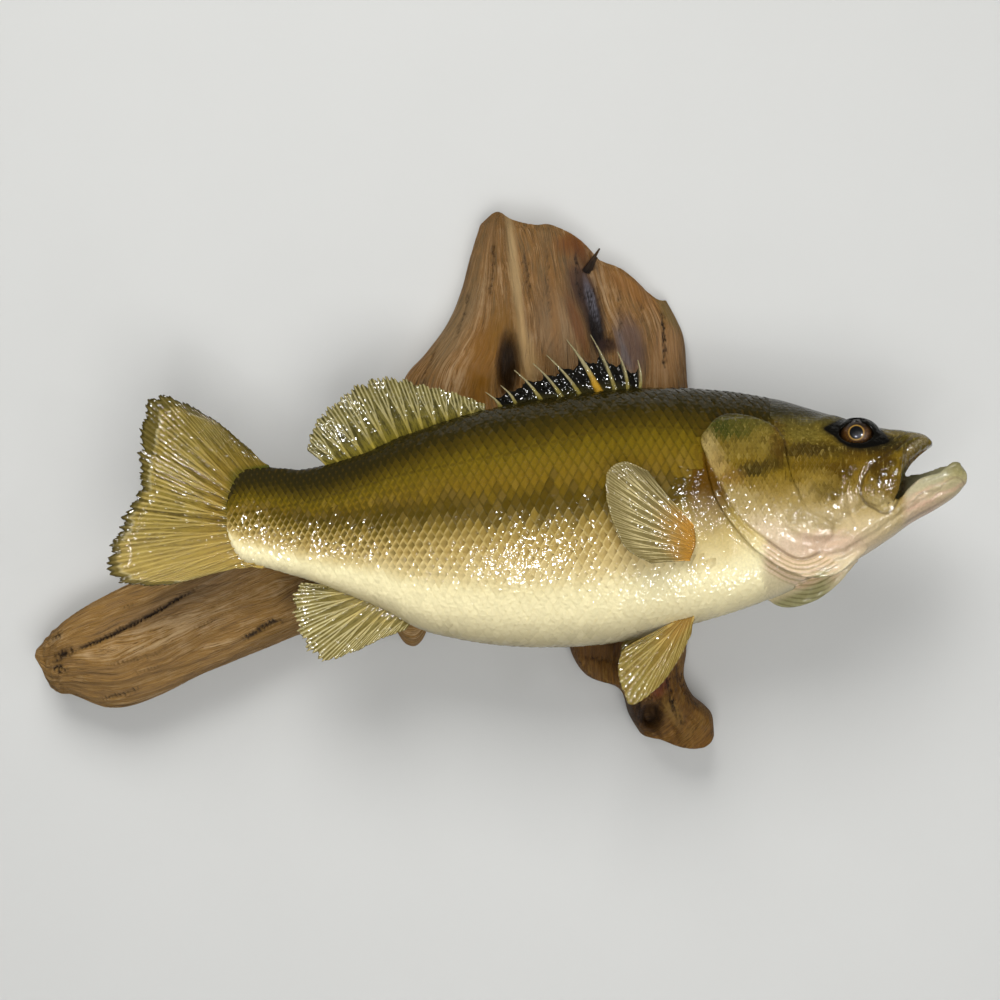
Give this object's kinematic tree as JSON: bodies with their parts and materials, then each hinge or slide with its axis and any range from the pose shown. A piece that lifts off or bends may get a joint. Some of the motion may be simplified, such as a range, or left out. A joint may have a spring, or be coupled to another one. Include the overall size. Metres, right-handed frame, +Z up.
{
  "type": "mounted largemouth bass",
  "caption": "Life-size taxidermy largemouth bass with its mouth open, turned a little off the wall, fixed on a driftwood slab, root and log that hang on a flat back.",
  "frame": {"origin": "hanging point in the middle of the driftwood slab's flat sawn back, behind the fish", "axes": "+X toward the fish's head, +Y into the wall, +Z up"},
  "size_m": [0.5562, 0.1335, 0.3299],
  "materials": {
    "skin": "scaled fish skin, olive on the back, gold on the side, cream on the belly, under clear lacquer",
    "jaw_skin": "pale cream and pink skin of jaw and gill fringe under clear lacquer",
    "fin": "olive and gold fin web and rays, thin and translucent, lacquered",
    "dark_fin": "dark olive spiny fin, lacquered",
    "pale_fin": "cream and yellow fin web and rays, lacquered",
    "eye": "glass eye with a brown iris, gold ring and black pupil",
    "driftwood": "weathered, furrowed brown driftwood, matte with a few shiny dark streaks"
  },
  "bodies": {
    "root": {"head": "skin", "upper_jaw": "skin", "lower_jaw": "jaw_skin", "trunk": "skin", "tail": "skin", "eye_right": "eye", "eye_left": "eye", "gill_cover_right": "skin", "gill_cover_left": "skin", "gill_membrane_right": "jaw_skin", "gill_membrane_left": "jaw_skin", "pectoral_fin_right": "fin", "pectoral_fin_left": "fin", "pelvic_fin_right": "pale_fin", "pelvic_fin_left": "pale_fin", "dorsal_fin_spiny": "dark_fin", "dorsal_fin_soft": "fin", "caudal_fin": "fin", "anal_fin": "pale_fin", "driftwood_slab": "driftwood", "driftwood_root": "driftwood", "driftwood_log": "driftwood"}
  },
  "joints": []
}
